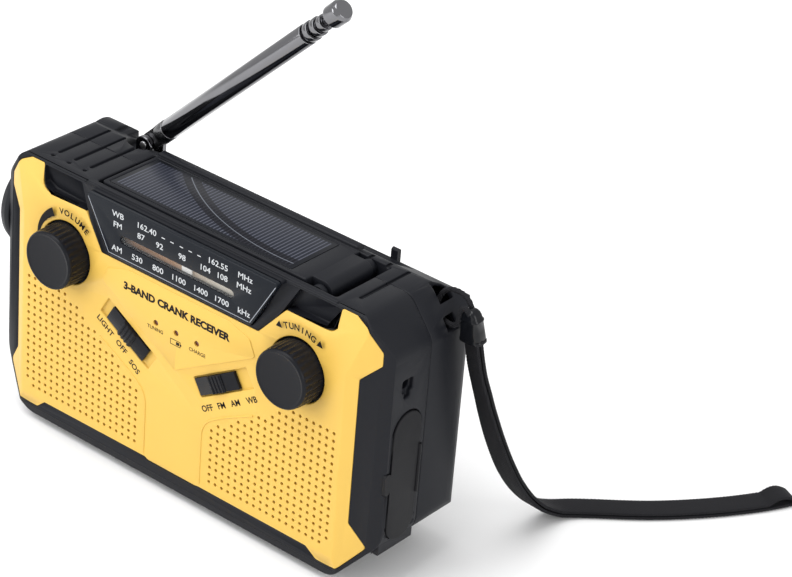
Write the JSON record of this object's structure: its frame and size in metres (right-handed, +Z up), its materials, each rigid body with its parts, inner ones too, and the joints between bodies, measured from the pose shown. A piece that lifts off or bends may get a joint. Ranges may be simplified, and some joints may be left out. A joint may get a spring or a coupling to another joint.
{
  "type": "portable emergency radio",
  "caption": "Hand-crank emergency radio with a solar flap, side torch, tuning dial, two knobs, slide switches, telescopic aerial and wrist strap.",
  "frame": {"origin": "on the standing surface, under the middle of the radio's own box without the wrist strap", "axes": "+X to the right as the dial is read, +Y from the front panel to the back, +Z up"},
  "size_m": [0.2135, 0.1435, 0.158],
  "materials": {
    "case": "fine moulded grain",
    "panel": "satin moulded plastic",
    "cloth": "woven speaker cloth",
    "dial": "smooth printed window",
    "clear": "clear moulded plastic",
    "dial_paper": "printed card",
    "white_plastic": "plain moulded",
    "steel": "plated",
    "indicator": "translucent",
    "knob": "satin with glossy rim",
    "board": "solder resist",
    "ferrite": "sintered",
    "cell": "printed sleeve",
    "brass": "plated",
    "dark_steel": "blackened",
    "solar": "resin over cells",
    "chrome": "polished",
    "rubber": "soft moulded",
    "webbing": "braided polyester",
    "ferrule": "moulded"
  },
  "bodies": {
    "case": {"front_shell": "case", "rear_shell": "case", "front_panel": "panel", "grille_cloth": "cloth", "dial_window": "dial", "dial_lens": "clear", "dial_backing": "dial_paper", "pointer_guide": "steel", "indicator_pipes": "indicator", "volume_control": "steel", "tuning_capacitor": "white_plastic", "switch_bodies": "steel", "main_board": "board", "speaker": "steel", "ferrite_aerial": "ferrite", "rechargeable_cell": "cell", "spare_cells": "cell", "cell_contacts": "brass", "generator": "steel", "hinge_pin": "case", "torch_bezel": "case", "torch_lens": "clear", "torch_reflector": "chrome", "torch_led": "indicator", "charging_ports": "steel", "headphone_socket": "dial", "feet": "rubber", "case_screws": "steel", "strap_cord": "webbing", "strap_ferrule": "ferrule", "strap_webbing": "webbing"},
    "volume": {"volume_knob": "knob", "volume_shaft": "steel"},
    "tuning": {"tuning_knob": "knob", "tuning_shaft": "steel"},
    "pointer": {"tuning_pointer": "white_plastic"},
    "light_switch": {"light_slider": "knob"},
    "band_switch": {"band_slider": "knob"},
    "flap": {"solar_frame": "case", "solar_cell": "solar", "reading_lamp_board": "white_plastic", "reading_lamp_lens": "clear"},
    "crank": {"crank_arm": "knob", "crank_gear": "white_plastic"},
    "generator_rotor": {"generator_pinion": "white_plastic"},
    "grip_fold": {"grip_yoke": "steel"},
    "grip": {"crank_grip": "knob"},
    "cover": {"port_cover": "rubber"},
    "door": {"battery_door": "case"},
    "aerial_swivel": {"aerial_base": "chrome", "aerial_pin": "steel", "aerial_nut": "steel"},
    "aerial": {"aerial_knuckle": "dark_steel", "aerial_tube_1": "chrome"},
    "aerial_2": {"aerial_tube_2": "chrome"},
    "aerial_3": {"aerial_tube_3": "chrome"},
    "aerial_4": {"aerial_tube_4": "chrome"},
    "aerial_5": {"aerial_tube_5": "chrome"}
  },
  "joints": [
    {"name": "volume_turn", "type": "hinge", "parent": "case", "child": "volume", "pos_m": [-0.04335, -0.0206, 0.0646], "axis": [0, 1, 0], "range_deg": [-135, 135]},
    {"name": "tuning_turn", "type": "hinge", "parent": "case", "child": "tuning", "pos_m": [0.04705, -0.0206, 0.0646], "axis": [0, 1, 0], "range_deg": [-120, 120]},
    {"name": "pointer_travel", "type": "slide", "parent": "case", "child": "pointer", "axis": [1, 0, 0], "range_m": [-0.0175, 0.0175]},
    {"name": "light_switch_travel", "type": "slide", "parent": "case", "child": "light_switch", "axis": [0.8616, 0, -0.5075], "range_m": [-0.0028, 0.0028]},
    {"name": "band_switch_travel", "type": "slide", "parent": "case", "child": "band_switch", "axis": [0.8572, 0, 0.515], "range_m": [0, 0.0054]},
    {"name": "flap_hinge", "type": "hinge", "parent": "case", "child": "flap", "pos_m": [0.04735, -0.0031, 0.0866], "axis": [0, 1, 0], "range_deg": [0, 100]},
    {"name": "crank_spin", "type": "hinge", "parent": "case", "child": "crank", "pos_m": [0.03585, 0.0194, 0.044], "axis": [0, 1, 0], "continuous": true},
    {"name": "generator_spin", "type": "hinge", "parent": "case", "child": "generator_rotor", "pos_m": [0.01555, 0.0094, 0.044], "axis": [0, 1, 0], "continuous": true},
    {"name": "grip_fold_out", "type": "hinge", "parent": "crank", "child": "grip_fold", "pos_m": [0.00685, 0.023, 0.044], "axis": [0, 0, 1], "range_deg": [0, 90]},
    {"name": "grip_spin", "type": "hinge", "parent": "grip_fold", "child": "grip", "pos_m": [0.00685, 0.023, 0.044], "axis": [1, 0, 0], "continuous": true},
    {"name": "cover_hinge", "type": "hinge", "parent": "case", "child": "cover", "pos_m": [0.077, -0.00085, 0.038], "axis": [0, 0, 1], "range_deg": [0, 100]},
    {"name": "door_slide", "type": "slide", "parent": "case", "child": "door", "axis": [0, 0, -1], "range_m": [0, 0.009]},
    {"name": "aerial_swivel_turn", "type": "hinge", "parent": "case", "child": "aerial_swivel", "pos_m": [-0.04415, 0.0154, 0.084], "axis": [0, 0, 1], "range_deg": [-180, 90]},
    {"name": "aerial_tilt", "type": "hinge", "parent": "aerial_swivel", "child": "aerial", "pos_m": [-0.04415, 0.0154, 0.0885], "axis": [0, 1, 0], "range_deg": [-46, 44]},
    {"name": "aerial_slide_2", "type": "slide", "parent": "aerial", "child": "aerial_2", "axis": [0.7193, 0, 0.6947], "range_m": [0, 0.06]},
    {"name": "aerial_slide_3", "type": "slide", "parent": "aerial_2", "child": "aerial_3", "axis": [0.7193, 0, 0.6947], "range_m": [0, 0.06]},
    {"name": "aerial_slide_4", "type": "slide", "parent": "aerial_3", "child": "aerial_4", "axis": [0.7193, 0, 0.6947], "range_m": [0, 0.06]},
    {"name": "aerial_slide_5", "type": "slide", "parent": "aerial_4", "child": "aerial_5", "axis": [0.7193, 0, 0.6947], "range_m": [0, 0.06]}
  ],
  "couplings": [
    {"joint": "pointer_travel", "follows": "tuning_turn", "m_per_rad": 0.008},
    {"joint": "generator_spin", "follows": "crank_spin", "ratio": -4},
    {"joint": "aerial_slide_3", "follows": "aerial_slide_2", "ratio": 1},
    {"joint": "aerial_slide_4", "follows": "aerial_slide_2", "ratio": 1},
    {"joint": "aerial_slide_5", "follows": "aerial_slide_2", "ratio": 1}
  ]
}
